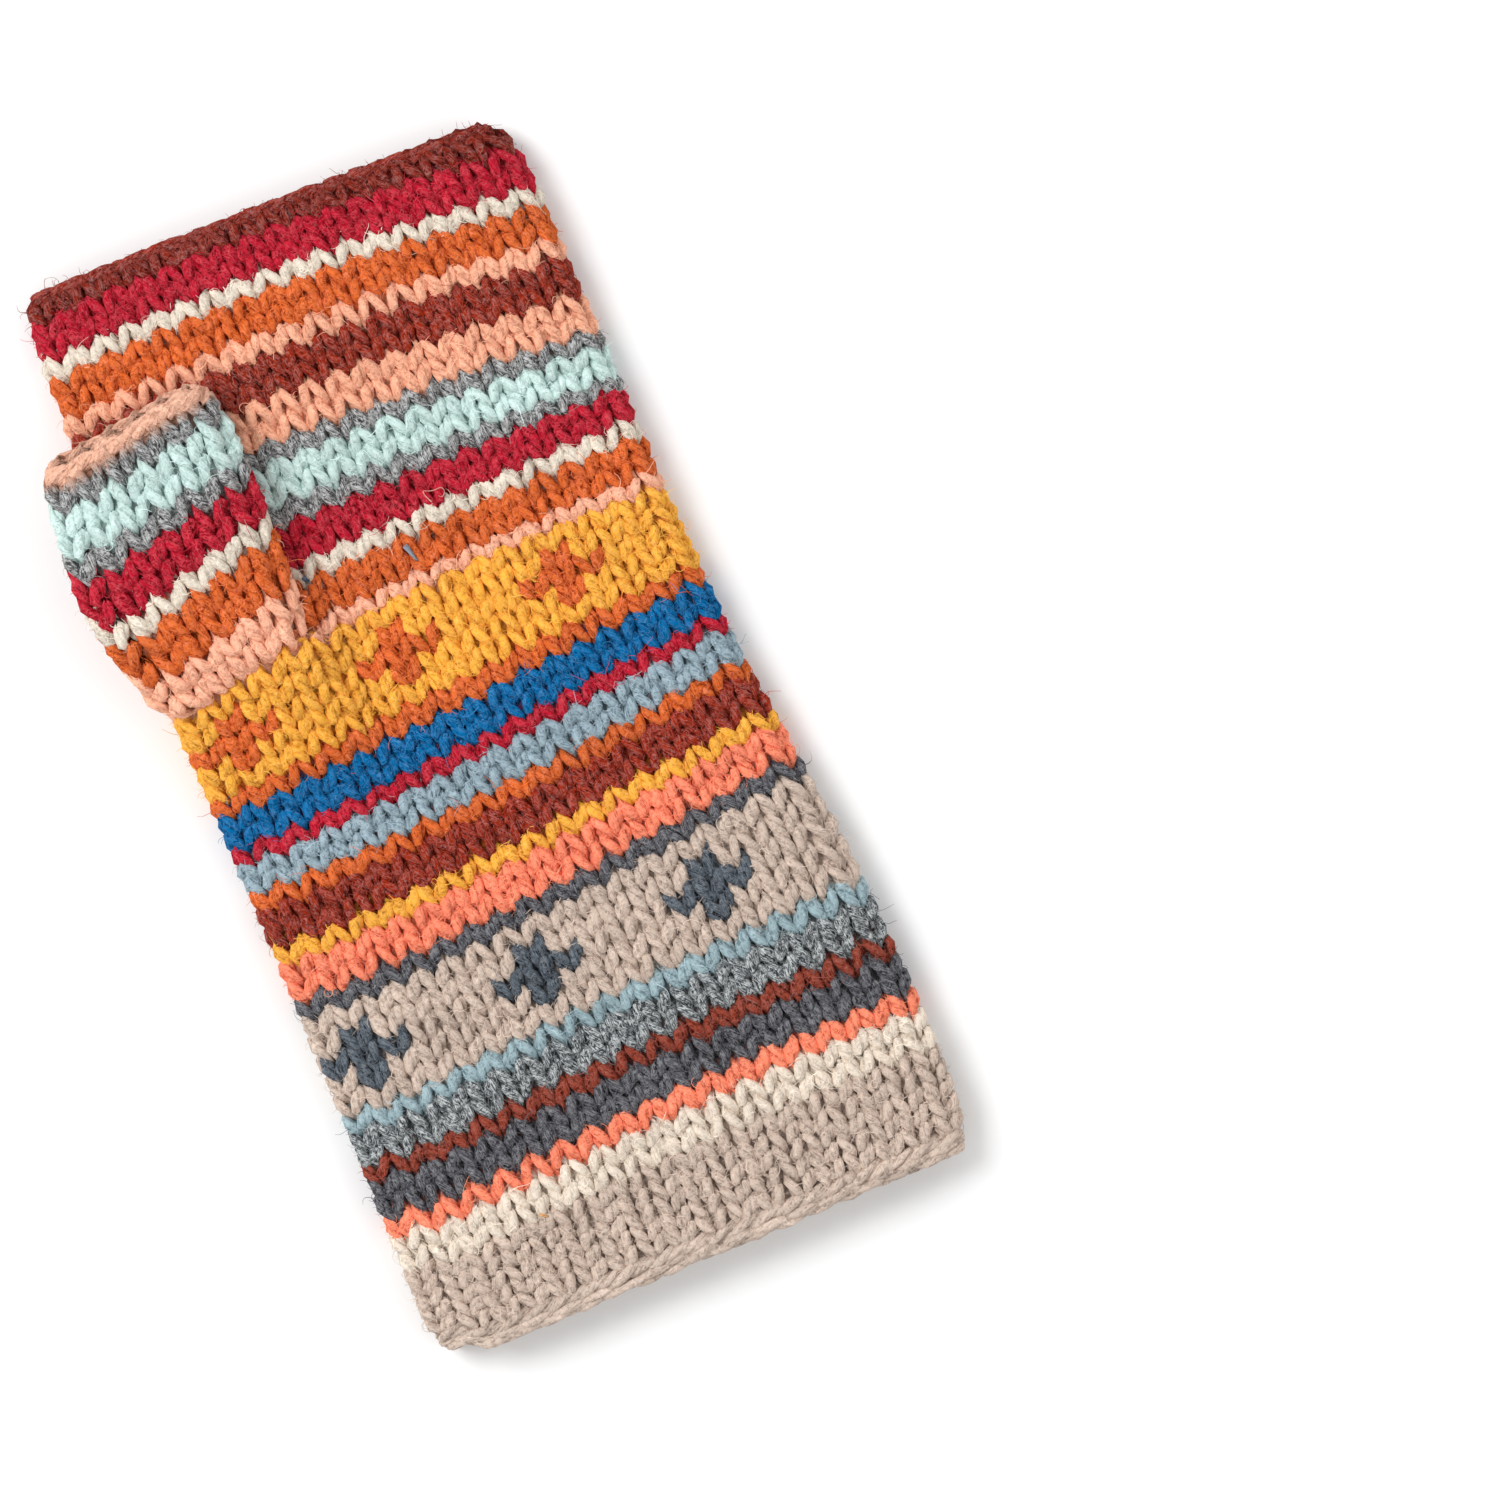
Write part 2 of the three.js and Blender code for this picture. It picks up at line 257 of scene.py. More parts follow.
HAND_EDGES = row_edges(STRIPES, WRIST_END, ("left", "middle", "right"))
THUMB_EDGES = row_edges(THUMB_STRIPES, THUMB_BASE, ("left", "right"))
ROWS = len(HAND_EDGES["left"]) - 1
THUMB_ROWS = len(THUMB_EDGES["left"]) - 1


def at_row(edges, row):
    """An edge table read between its rows, and on past both ends."""
    i = np.clip(np.floor(row).astype(int), 0, len(edges) - 2)
    return edges[i] + (edges[i + 1] - edges[i]) * (row - i)


def hand_level(row, across):
    """How far up the hand a row lies: across runs from -1 at the left fold to 1 at the right."""
    left, middle, right = (at_row(HAND_EDGES[name], row) for name in ("left", "middle", "right"))
    bend = (left + right) / 2 - middle
    corner = smooth((-across - (1 - CORNER["share"])) / CORNER["share"])
    lift = CORNER["lift"] * corner * np.clip(row / ROWS, 0, 1) ** 2
    return middle + (right - left) / 2 * across + bend * across**2 + lift


def ramp(y):
    """How high the cloth swells towards the thumb."""
    share = smooth((y - SWELL["start"]) / (SWELL["end"] - SWELL["start"]))
    return mix(HAND_HEIGHT, THUMB_TOP, share)


def palm_height(x, y, left, right):
    """Height of the palm, between its left and right folds."""
    inward = np.minimum(x - left, right - x) - FOLD
    crown = (HAND_HEIGHT - FOLD_HEIGHT) * (1 - (1 - np.clip(inward / CROWN_WIDTH, 0, 1)) ** 2)
    beside = 1 - smooth((x - SWELL["full"]) / (SWELL["none"] - SWELL["full"]))
    below = 1 - smooth((y - SWELL["crotch"]) / SWELL["drop"])
    swell = (ramp(np.minimum(y, SWELL["crotch"] + 1)) - HAND_HEIGHT) * beside * below
    return FOLD_HEIGHT + crown + swell


def round_tube(q, flat, arc):
    """Where share q of the way round a flattened tube lies: how far across, and the fold's angle.

    It starts at the left fold, goes over the top to the right fold and back underneath.
    """
    s = (q % 1) * 2 * (flat + arc)
    half = arc / 2
    top = np.clip((s - half) / flat, 0, 1)
    under = np.clip((s - half - flat - arc) / flat, 0, 1)
    across = np.where(s < half + flat + half, top, 1 - under)
    angle = np.full_like(s, math.pi / 2)
    angle = np.where(s < half, math.pi - s / half * math.pi / 2, angle)
    after = s - half - flat
    angle = np.where(after > 0, math.pi / 2 - np.clip(after / arc, 0, 1) * math.pi, angle)
    last = s - (2 * flat + 1.5 * arc)
    angle = np.where(last > 0, -math.pi / 2 - np.clip(last / half, 0, 1) * math.pi / 2, angle)
    return across, angle


def hand_point(q, row, out):
    """A point of the hand's cloth: share q round it, at a row, out from the middle of the cloth."""
    level = hand_level(row, 0 * q)
    wide = along(HAND_SIDES, "right", level) - along(HAND_SIDES, "left", level) - 2 * FOLD
    u, angle = round_tube(q, wide, math.pi * (FOLD - WALL / 2))
    y = hand_level(row, 2 * u - 1)
    left, right = along(HAND_SIDES, "left", y), along(HAND_SIDES, "right", y)
    inset = WALL / 2 - out
    x = left + FOLD + (right - left - 2 * FOLD) * u
    top = palm_height(x, y, left, right)
    reach = np.where(np.sin(angle) > 0, top - FOLD, FOLD - UNDER) - inset
    return np.stack([x + (FOLD - inset) * np.cos(angle), y, FOLD + reach * np.sin(angle)], -1)


def thumb_point(q, row, out):
    """The same for the thumb."""
    share = 1 - row / THUMB_ROWS
    u, angle = round_tube(q, THUMB_FLAT["width"] + 0 * q, math.pi * THUMB_FLAT["fold"])
    front = mix(at_row(THUMB_EDGES["left"], row), at_row(THUMB_EDGES["right"], row), u)
    back = mix(
        mix(THUMB_BACK["base"][0], THUMB_BACK["end"][0], share),
        mix(THUMB_BACK["base"][1], THUMB_BACK["end"][1], share),
        u,
    )
    top = ramp(front)
    bottom = mix(THUMB_ROOT, THUMB_REST, smooth(share / ROOT_SHARE))
    half = (top - bottom) / 2
    inset = WALL / 2 - out
    rise = (half - inset) * np.sin(angle)
    y = mix(back, front, (rise / half + 1) / 2)
    left, right = along(THUMB_SIDES, "left", y), along(THUMB_SIDES, "right", y)
    radius = np.minimum(half, FOLD + 1)
    x = left + radius + (right - left - 2 * radius) * u + (radius - inset) * np.cos(angle)
    return np.stack([x, y, (top + bottom) / 2 + rise], -1)


def unit(v):
    """The same directions, with a length of one."""
    return v / np.maximum(np.linalg.norm(v, axis=-1, keepdims=True), 1e-9)


def facing(point, q, row, out):
    """Which way the cloth faces at a point of it."""
    return unit(point(q, row, out + 0.5) - point(q, row, out - 0.5))


def linear(rgb):
    """A colour of 255 as amounts of light."""
    c = np.array(rgb, float) / 255
    return np.where(c <= 0.04045, c / 12.92, ((c + 0.055) / 1.055) ** 2.4)


def rise_off_floor(points):
    """Keeps the wool on the surface, and clear of the leather patch let into the underside."""
    half = PATCH["side"] / 2 + 0.5
    over = (np.abs(points[..., 0] - PATCH["x"]) < half) & (np.abs(points[..., 1] - PATCH["y"]) < half)
    floor = np.where(over, PATCH["thickness"] + 0.1, 0.02)
    soft = 0.22
    above = (points[..., 2] - floor) / soft
    points[..., 2] = floor + soft * (np.log1p(np.exp(-np.abs(above))) + np.maximum(above, 0))
    return points


class Cloth:
    """Gathers yarn and other tubes into one mesh, with a colour and a UV for every point."""

    def __init__(self):
        self.points, self.faces, self.colours, self.uvs, self.heather = [], [], [], [], []
        self.count = 0

    def tube(
        self, centre, normal, radius, colour, heather, closed, keep=None, flat=0.9, start=0.0, lift=True
    ):
        """A tube along centre, (n, 3), with its flatter side along normal."""
        ahead, behind = np.roll(centre, -1, 0), np.roll(centre, 1, 0)
        if not closed:
            ahead[-1], behind[0] = centre[-1], centre[0]
        tangent = unit(ahead - behind)
        side = unit(np.cross(tangent, normal))
        up = np.cross(side, tangent)
        step = np.linalg.norm(np.diff(centre, axis=0), axis=1)
        length = np.concatenate([[0], np.cumsum(step)])
        whole = length[-1] + np.linalg.norm(centre[0] - centre[-1])
        turns = max(1, round(whole / PLY_TURN)) / whole if closed else 1 / PLY_TURN
        length = length + (0 if closed else start)
        sides = np.arange(SIDES) / SIDES * 2 * math.pi
        turn = sides + (length * turns + start / PLY_TURN)[:, None] * 2 * math.pi
        reach = radius[:, None] * PLIES
        ring = (
            centre[:, None]
            + (reach * np.cos(turn))[..., None] * side[:, None]
            + (flat * reach * np.sin(turn))[..., None] * up[:, None]
        )
        if lift:
            ring = rise_off_floor(ring)
        n = len(centre)
        rows = np.arange(n if closed else n - 1)
        if keep is not None:
            rows = rows[keep[rows]]
        nxt = (rows + 1) % n
        k = np.arange(SIDES)
        corner = np.stack(
            [
                rows[:, None] * SIDES + k,
                rows[:, None] * SIDES + (k + 1) % SIDES,
                nxt[:, None] * SIDES + (k + 1) % SIDES,
                nxt[:, None] * SIDES + k,
            ],
            -1,
        ).reshape(-1, 4)
        step = np.linalg.norm(centre[nxt] - centre[rows], axis=1)
        low, high = length[rows], length[rows] + step
        u = np.stack([low, low, high, high], -1)[:, None] + np.zeros((1, SIDES, 1))
        v = np.stack([k, k + 1, k + 1, k], -1)[None] / SIDES + np.zeros((len(rows), 1, 1))
        self.points.append(ring.reshape(-1, 3))
        self.faces.append(corner[:, ::-1] + self.count)
        self.uvs.append(np.stack([u, v], -1).reshape(-1, 4, 2)[:, ::-1])
        self.colours.append(np.repeat(colour, SIDES, 0))
        self.heather.append(np.repeat(heather, SIDES))
        self.count += n * SIDES

    def sheet(self, grid, colour, keep=None):
        """A skin over a grid of points, (rows, columns, 3), that closes both ways."""
        rows, columns = grid.shape[:2]
        j, i = np.arange(rows)[:, None], np.arange(columns)[None]
        j2, i2 = (j + 1) % rows, (i + 1) % columns
        corners = (j * columns + i, j * columns + i2, j2 * columns + i2, j2 * columns + i)
        corner = np.stack(np.broadcast_arrays(*corners), -1)
        if keep is not None:
            corner = corner[keep]
        corner = corner.reshape(-1, 4)
        self.points.append(grid.reshape(-1, 3))
        self.faces.append(corner + self.count)
        self.uvs.append(np.zeros((len(corner), 4, 2)))
        self.colours.append(colour.reshape(-1, 3))
        self.heather.append(np.zeros(rows * columns))
        self.count += rows * columns

    def build(self, name, material, slot, replaces=()):
        """Makes one piece of all that was gathered."""
        points, faces = np.concatenate(self.points), np.concatenate(self.faces)
        colours, uvs, heather = (np.concatenate(x) for x in (self.colours, self.uvs, self.heather))
        used = np.unique(faces)
        renumber = np.zeros(len(points), int)
        renumber[used] = np.arange(len(used))
        faces, points, colours, heather = renumber[faces], points[used], colours[used], heather[used]
        mesh = bpy.data.meshes.new(name)
        mesh.vertices.add(len(points))
        mesh.vertices.foreach_set("co", (points * MM).astype(np.float32).ravel())
        mesh.loops.add(faces.size)
        mesh.loops.foreach_set("vertex_index", faces.astype(np.int32).ravel())
        mesh.polygons.add(len(faces))
        mesh.polygons.foreach_set("loop_start", np.arange(0, faces.size, 4, dtype=np.int32))
        mesh.update(calc_edges=True)
        layer = mesh.uv_layers.new(name="yarn")
        layer.data.foreach_set("uv", uvs.astype(np.float32).ravel())
        wool = mesh.color_attributes.new("wool", "FLOAT_COLOR", "POINT")
        rgba = np.concatenate([colours, np.ones((len(colours), 1))], 1)
        wool.data.foreach_set("color", rgba.astype(np.float32).ravel())
        fleck = mesh.attributes.new("heather", "FLOAT", "POINT")
        fleck.data.foreach_set("value", heather.astype(np.float32))
        mesh.polygons.foreach_set("use_smooth", np.ones(len(faces), bool))
        mesh.validate()
        piece = bpy.data.objects.new(name, mesh)
        bpy.context.collection.objects.link(piece)
        mesh.materials.append(material)
        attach(piece, "root")
        if replaces:
            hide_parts(*replaces)
        return piece


class Value:
    """A shader socket that can be used in Python expressions."""

    def __init__(self, shader, socket):
        self.shader, self.socket = shader, socket

    def maths(self, operation, *others):
        return self.shader.node("ShaderNodeMath", (self, *others), operation=operation).out(0)

    def __add__(self, other):
        return self.maths("ADD", other)

    def __sub__(self, other):
        return self.maths("SUBTRACT", other)

    def __rsub__(self, other):
        return self * -1 + other

    def __mul__(self, other):
        return self.maths("MULTIPLY", other)

    __rmul__ = __mul__


class Node:
    """A node of a shader, known by its outputs."""

    def __init__(self, shader, node):
        self.shader, self.node = shader, node

    def out(self, name):
        return Value(self.shader, self.node.outputs[name])


class Shader:
    """A material and the nodes that lead to its surface."""

    def __init__(self, name):
        self.material = bpy.data.materials.new(name)
        self.material.use_nodes = True
        self.tree = self.material.node_tree
        self.surface = self.tree.nodes["Principled BSDF"]

    def node(self, kind, inputs=(), **settings):
        node = self.tree.nodes.new(kind)
        for key, value in settings.items():
            setattr(node, key, value)
        pairs = inputs.items() if isinstance(inputs, dict) else enumerate(inputs)
        for key, value in pairs:
            self.put(node.inputs[key], value)
        return Node(self, node)

    def put(self, socket, value):
        if isinstance(value, Value):
            self.tree.links.new(value.socket, socket)
        else:
            socket.default_value = value

    def mixed(self, share, a, b, blend="MIX"):
        node = self.node("ShaderNodeMix", data_type="RGBA", blend_type=blend)
        for key, value in ((0, share), (6, a), (7, b)):
            self.put(node.node.inputs[key], value)
        return node.out(2)

    def ramp(self, value, low, high):
        inputs = {"Value": value, "From Min": low, "From Max": high}
        return self.node("ShaderNodeMapRange", inputs, interpolation_type="SMOOTHSTEP").out("Result")

    def noise(self, place, scale, detail):
        inputs = {"Vector": place, "Scale": scale, "Detail": detail}
        return self.node("ShaderNodeTexNoise", inputs).out("Fac")

    def shine(self, roughness, specular):
        self.surface.inputs["Roughness"].default_value = roughness
        self.surface.inputs["Specular IOR Level"].default_value = specular


def strands(shader, place, scale, lines, width, seed):
    """Thin curly lines, as of single fibres: level lines of a noise, broken here and there."""
    field = {"Vector": place, "W": seed, "Scale": scale, "Detail": 1.0, "Distortion": 0.6}
    level = shader.node("ShaderNodeTexNoise", field, noise_dimensions="4D").out("Fac")
    gaps = {"Vector": place, "W": seed + 9.0, "Scale": scale * 1.6, "Detail": 0.0}
    breaks = shader.node("ShaderNodeTexNoise", gaps, noise_dimensions="4D").out("Fac")
    line = shader.ramp((level * lines).maths("SINE").maths("ABSOLUTE"), width, 0.0)
    return line * shader.ramp(breaks, 0.44, 0.54)


def wool_material(name):
    """Two-ply wool, with its fibres and the odd curled one, and painted light and shade: lit and shaded
    copies of the wool mixed by the ply grooves and fibre tone, thin lines of painted shade, and painted
    highlights along stray fibres.
    """
    shader = Shader(name)
    colour = shader.node("ShaderNodeAttribute", attribute_name="wool").out("Color")
    mixed_in = shader.node("ShaderNodeAttribute", attribute_name="heather").out("Fac")
    place = shader.node("ShaderNodeTexCoord").out("Object")
    yarn = shader.node("ShaderNodeUVMap", uv_map="yarn").out("UV")
    split = shader.node("ShaderNodeSeparateXYZ", (yarn,))
    length, turn = split.out("X"), split.out("Y")
    wobble = shader.noise(place, 260.0, 2.0)
    phase = turn * (2 * math.pi)
    across, upward = phase.maths("COSINE"), phase.maths("SINE")
    ply = (phase + wobble * 0.8 - 0.4).maths("COSINE").maths("ABSOLUTE")
    twisted = shader.node("ShaderNodeCombineXYZ", (across * 1.3, upward * 1.3, length * 0.2)).out(0)
    fibre = shader.ramp(shader.noise(twisted, 2.0, 2.0), 0.28, 0.72)
    hairs = shader.ramp(shader.noise(twisted, 4.6, 2.0), 0.3, 0.7)
    cloud = shader.ramp(shader.noise(place, 1100.0, 3.0), 0.3, 0.7)
    patchy = shader.noise(place, 60.0, 2.0)
    groove = shader.ramp(ply, 0.0, 0.5)
    # Painted light and shade: the value light drops in the ply grooves and varies with random
    # fibre-scale tone; base mixes the lit and shaded copies of the wool by it, less on pale wools.
    light = (groove * 0.24 + 0.76) * (fibre * 0.3 + 0.85) * (hairs * 0.26 + 0.87)
    light = light * (cloud * 0.34 + 0.83) * (patchy * 0.24 + 0.88)
    # A shaded copy of the wool, darker and more saturated, and a lit copy, paler: painted shade and
    # painted light.
    squared = shader.mixed(1.0, colour, colour, "MULTIPLY")
    shaded_wool = shader.mixed(1.0, squared, (0.5, 0.5, 0.52, 1), "MULTIPLY")
    lit_wool = shader.mixed(1.0, colour, (1.14, 1.14, 1.14, 1), "MULTIPLY")
    paleness = shader.node("ShaderNodeRGBToBW", (colour,)).out(0)
    base = shader.mixed(shader.ramp(light, 1.05, 0.5) * (1.1 - 0.8 * paleness), lit_wool, shaded_wool)
    pale = shader.ramp(hairs * 0.65 + cloud * 0.35, 0.5, 0.7) * mixed_in
    dark = shader.ramp(hairs * 0.5 + fibre * 0.25 + cloud * 0.25, 0.46, 0.28) * mixed_in
    base = shader.mixed(pale * 0.75, base, PALE_HEATHER)
    base = shader.mixed(dark * 0.75, base, DARK_HEATHER)
    stray = strands(shader, place, 230.0, 26.0, 0.46, 1.0)
    curl = strands(shader, place, 420.0, 24.0, 0.5, 2.0)
    shadow_and_fleck_lines = strands(shader, place, 340.0, 24.0, 0.45, 3.0)
    # Painted highlights: stray and curled fibres are painted paler than their wool, as the light that
    # they catch; on heathered wools the curled lines also carry real pale fibres.
    lit_fibre_wool = shader.mixed(1.0, colour, (1.5, 1.5, 1.5, 1), "MULTIPLY")
    fibre_highlight = shader.mixed(0.06, lit_fibre_wool, (1, 0.95, 0.92, 1))
    # Painted shade: along thin lines the wool turns to its shaded copy, less on pale wools; on
    # heathered wools the same lines also carry real dark fibres.
    base = shader.mixed(shadow_and_fleck_lines * (0.75 - 0.85 * paleness), base, shaded_wool)
    base = shader.mixed(curl * 0.55, base, fibre_highlight)
    base = shader.mixed(stray * 0.75, base, fibre_highlight)
    base = shader.mixed(shadow_and_fleck_lines * mixed_in * 0.7, base, DARK_HEATHER)
    base = shader.mixed(curl * mixed_in * 0.7, base, PALE_HEATHER)
    height = ply * 0.4 + fibre * 0.35 + hairs * 0.2 + cloud * 0.3
    height = height + stray * 0.3 + curl * 0.25 + shadow_and_fleck_lines * -0.15
    relief = {"Strength": 0.7, "Distance": 0.0005, "Height": height}
    bump = shader.node("ShaderNodeBump", relief).out("Normal")
    shader.put(shader.surface.inputs["Base Color"], base)
    shader.put(shader.surface.inputs["Normal"], bump)
    shader.shine(0.92, 0.03)
    return shader.material


def hair_material(name):
    """Loose fibres and thread, plain in the colour of each point."""
    shader = Shader(name)
    colour = shader.node("ShaderNodeAttribute", attribute_name="wool").out("Color")
    shader.put(shader.surface.inputs["Base Color"], colour)
    shader.shine(0.8, 0.05)
    return shader.material


wool = wool_material("wool")
hair = hair_material("stray_fibres")


def chart(stripes, stitches):
    """Names of the wool of every stitch, row by row."""
    names = []
    for stripe in stripes:
        for row in range(stripe["rows"]):
            line = [stripe["wool"]] * stitches
            for stitch in range(stitches):
                if "motif" in stripe and row in MOTIF.get(stitch % MOTIF_REPEAT, ()):
                    line[stitch] = stripe["motif"]
            names.append(line)
    return names


def round_loop(even):
    """Angles round the loops, one turn for each, with more steps in the legs than an even division."""
    return even + 0.17 * np.sin(2 * even)


def yarn_radius(t):
    """The yarn's radius round a loop, stout in the legs and pressed thin at its ends."""
    return YARN["head"] + (YARN["leg"] - YARN["head"]) * np.abs(np.sin(t)) ** 2.8


def knit(
    cloths, point, names, turn_at, rng, rim_wool, keep_stitch=None, split=None, stout=1.0, unruly=1.0
):
    """Lays one yarn for each row, a loop for every stitch, into the cloth that the row belongs to."""
    stitches = len(names[0])
    count = stitches * STEPS
    t = round_loop(np.arange(count) / STEPS * 2 * math.pi)
    which = np.arange(count) // STEPS
    wander = rng.normal(0, 1, (len(names) + 4, stitches))
    wander = (wander[:-4] + wander[1:-3] + wander[2:-2] + wander[3:-1] + wander[4:]) / 5

    def each(spread):
        """A random value for each stitch, which runs smoothly into the next one's."""
        values = rng.normal(0, spread * unruly, stitches)
        here = values[which]
        after = values[(which + 1) % stitches]
        return mix(here, after, smooth((t % (2 * math.pi)) / (2 * math.pi)))

    for row, line in enumerate(names):
        lean = (LEAN["both"] - LEAN["right"] * np.sin(t)) * (1 + each(UNEVEN["lean"]))
        high = LOOP * (1 + each(UNEVEN["height"]))
        u = t / (2 * math.pi) + lean * np.sin(2 * t) + each(UNEVEN["place"])
        u = u + wander[row][which] * UNEVEN["drift"]
        v = -high * np.cos(t) + each(UNEVEN["level"])
        out = -DEPTH * np.cos(2 * t) + 0.1 + each(UNEVEN["depth"])
        rows_here = row + 0.5 - v
        q = (u + turn_at(row + 0.5)) / stitches
        centre = point(q, rows_here, out)
        normal = facing(point, q, rows_here, out)
        radius = yarn_radius(t) * stout * (1 + each(UNEVEN["radius"]))
        colour = np.array([linear(WOOL[name]) for name in line])[which]
        under_rim = rows_here < 0.2
        colour[under_rim] = linear(WOOL[rim_wool])
        colour = colour * (1 + each(UNEVEN["colour"]))[:, None]
        # Painted shade: the stitches just below a rim are darkened, down to 0.72 at its edge, as the
        # shadow under the rim.
        colour = colour * mix(0.72, 1.0, smooth(rows_here / 1.2))[:, None]
        heather = np.array([HEATHER.get(name, PLAIN) for name in line])[which]
        heather[under_rim] = PLAIN
        keep = keep_stitch(row, centre) if keep_stitch else None
        cloth = cloths[split(row)] if split else cloths[0]
        cloth.tube(centre, normal, radius, colour, heather, True, keep, start=rng.uniform(0, 50))


def below_thumb(points):
    """True under the slanting ring of stitches where the thumb's tube begins."""
    y, z = points[..., 1], points[..., 2]
    rise = np.clip(ROOT_RING["top"] - y, 0, ROOT_RING["length"])
    return z < ROOT_RING["height"] + ROOT_RING["slope"] * rise


def in_thumb_hole(points):
    """The palm is open where the thumb grows out of it."""
    x, y, z = points[..., 0], points[..., 1], points[..., 2]
    share = np.clip((x - THUMB_SPAN["left"]) / THUMB_SPAN["width"], 0, 1)
    base = mix(THUMB_BASE["left"], THUMB_BASE["right"], share)
    outer_wall = (x < OPENING["wall"]) & below_thumb(points)
    along_thumb = (y > base + OPENING["past_base"]) & (y < SWELL["crotch"] + OPENING["past_crotch"])
    return (x < OPENING["right"]) & (z > OPENING["above"]) & along_thumb & ~outer_wall


def knitted_here(row, points):
    """The stitches of the rows beside the thumb's base stop at it."""
    x, y, z = points[..., 0], points[..., 1], points[..., 2]
    beside = (x < BESIDE_THUMB["right"]) & (z > BESIDE_THUMB["above"])
    below_crotch = y < SWELL["crotch"] + OPENING["past_crotch"]
    return ~((row < BAND_ABOVE) & beside & below_crotch)


def hand_turn(row):
    """How far a row's stitches are turned round the hand."""
    return along(TURN, "stitches", hand_level(np.array([row]), np.zeros(1)))[0]


rng = np.random.default_rng(7)
hand_names = chart(STRIPES, STITCHES)
thumb_names = chart(THUMB_STRIPES, THUMB_STITCHES)
hand_cloths = [Cloth() for _ in PARTS]
knit(
    hand_cloths,
    hand_point,
    hand_names,
    hand_turn,
    rng,
    "rust",
    unruly=0.6,
    keep_stitch=knitted_here,
    split=lambda row: int(np.searchsorted(PART_CUTS, row, "right")),
)


def gusset(cloth, names, rng):
    """One more column of stitches up the thumb side, where the cloth swells towards the thumb."""
    t = round_loop(np.linspace(0, 2 * math.pi, STEPS + 1))
    for row in GUSSET["rows"]:
        lean, deeper, higher = rng.normal(0, GUSSET["uneven"])
        u = t / (2 * math.pi) + (LEAN["both"] + lean) * np.sin(2 * t)
        q = mix(GUSSET["left"], GUSSET["right"], u) / STITCHES
        rows_here = row + 0.5 + LOOP * np.cos(t) + higher
        out = GUSSET["out"] + deeper - DEPTH * np.cos(2 * t)
        centre = hand_point(q, rows_here, out)
        normal = facing(hand_point, q, rows_here, out)
        room = np.clip(np.ptp(centre[:, 2]) / GUSSET["full"], 0.5, 1.0)
        radius = yarn_radius(t) * room
        wool_name = names[row][0]
        colour = np.repeat(linear(WOOL[wool_name])[None], len(t), 0)
        heather = np.full(len(t), HEATHER.get(wool_name, PLAIN))
        keep = below_thumb(centre) if row < BAND_ABOVE else None
        cloth.tube(centre, normal, radius, colour, heather, False, keep, start=rng.uniform(0, 50))


gusset(hand_cloths[1], hand_names, np.random.default_rng(17))
thumb_cloth = Cloth()
knit([thumb_cloth], thumb_point, thumb_names, lambda row: 0.0, rng, "blush", stout=1.14, unruly=0.55)


def shade_backing(cloth, point, names, rows, first, last, keep_hole, rim_wool):
    """A thin layer in the middle of the cloth, which closes the small gaps between stitches, painted in
    darkened wool colours as the shade far down in those gaps.
    """
    stitches = len(names[0])
    q = np.arange(stitches * 2) / (stitches * 2)
    r = np.linspace(first, last, rows + 1)
    qq, rr = (x.ravel() for x in np.meshgrid(q, r))
    layers = []
    for out in SHADE_GROUND["layers"]:
        layer = point(qq, rr, np.full_like(qq, out)).reshape(len(r), len(q), 3)
        layers.append(rise_off_floor(layer))
    grid = np.concatenate([layers[0], layers[1][::-1]])[::-1]
    heights = np.concatenate([r, r[::-1]])
    rows_of = np.clip(heights, 0, rows - 0.01).astype(int)
    stitch_of = (q * stitches).astype(int)
    colour = np.array([[linear(WOOL[names[j][i]]) for i in stitch_of] for j in rows_of])
    # Painted shade: each row's wool darkened to 0.6, and the rim's wool to 0.7 near the rim.
    colour = colour * SHADE_GROUND["shade"]
    colour[heights < 0.8] = linear(WOOL[rim_wool]) * SHADE_GROUND["rim_shade"]
    cloth.sheet(grid, colour[::-1], ~in_thumb_hole(grid) if keep_hole else None)


shade_lining = Cloth()
shade_backing(shade_lining, hand_point, hand_names, ROWS, -0.25, ROWS + 0.4, True, "rust")
thumb_shade_lining = Cloth()
shade_backing(thumb_shade_lining, thumb_point, thumb_names, THUMB_ROWS, 0.0, THUMB_ROWS - 0.1, False, "peach")


